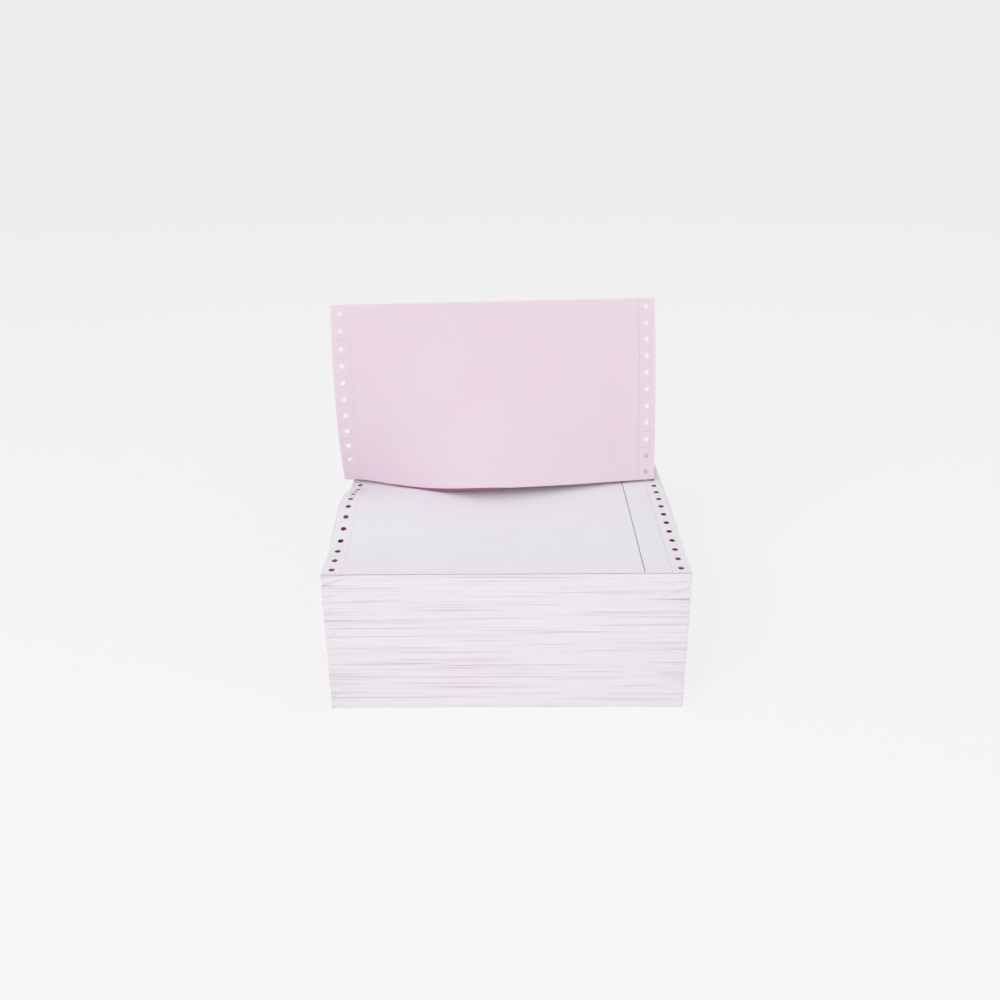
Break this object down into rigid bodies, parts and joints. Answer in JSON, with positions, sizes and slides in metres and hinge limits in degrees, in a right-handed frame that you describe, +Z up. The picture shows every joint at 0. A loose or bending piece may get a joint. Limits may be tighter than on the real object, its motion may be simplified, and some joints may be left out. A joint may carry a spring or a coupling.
{
  "type": "stack of continuous form paper",
  "caption": "Fan-folded block of two-ply continuous form paper with sprocket-holed feed strips, a loose top panel and a length of forms turned up on it.",
  "frame": {"origin": "middle of the folded block's underside, on the surface that the block lies on", "axes": "+X across the forms to the viewer's right, +Y from the front folds to the back folds, +Z up out of the block"},
  "size_m": [0.2494, 0.2848, 0.2471],
  "materials": {
    "block_paper": "matte",
    "pink_paper": "matte",
    "white_paper": "matte"
  },
  "bodies": {
    "root": {"folded_stack": "block_paper", "top_panel_pink_ply": "pink_paper", "top_panel_white_ply": "white_paper", "turned_up_pink_ply": "pink_paper", "turned_up_white_ply": "white_paper"}
  },
  "joints": []
}
